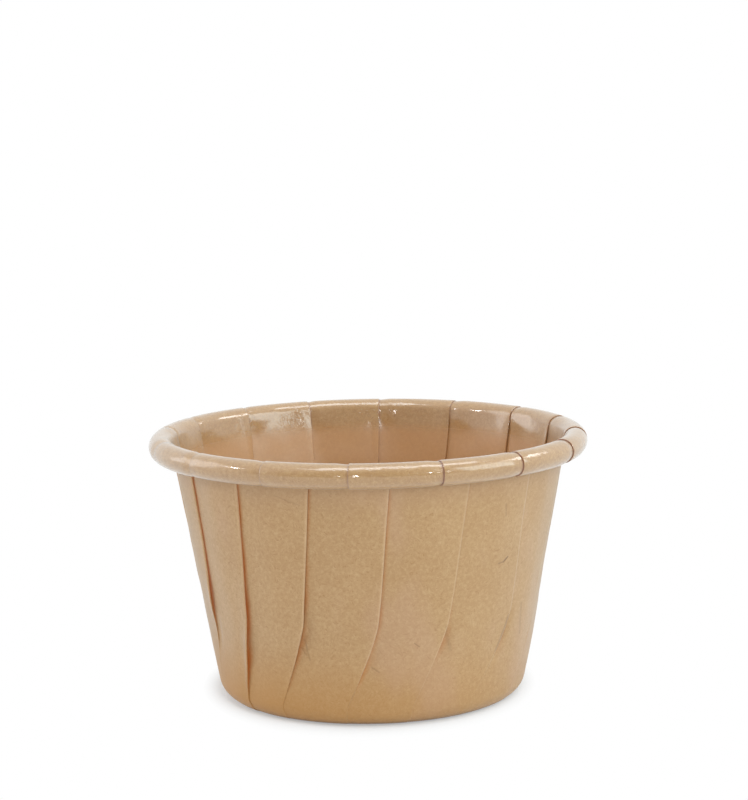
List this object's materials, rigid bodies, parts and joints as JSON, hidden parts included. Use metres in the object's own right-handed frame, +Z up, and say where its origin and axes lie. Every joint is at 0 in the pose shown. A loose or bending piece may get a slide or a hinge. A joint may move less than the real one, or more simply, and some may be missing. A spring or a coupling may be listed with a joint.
{
  "type": "cupcake liner",
  "caption": "Self-standing round paper baking cup: flat base, pleated flaring wall and a rim rolled outwards into a bead.",
  "frame": {"origin": "centre of the underside of the flat base, on the surface the cup stands on", "axes": "+Z up along the cup's axis, towards the open rim; -Y is the side seen in the picture, +X is to its right"},
  "size_m": [0.065, 0.0648, 0.0396],
  "materials": {
    "kraft_paper": "brown kraft paper, matte outside, with a glossy clear film on the side that faces inwards and shows on the rolled rim"
  },
  "bodies": {
    "root": {"liner": "kraft_paper"}
  },
  "joints": []
}
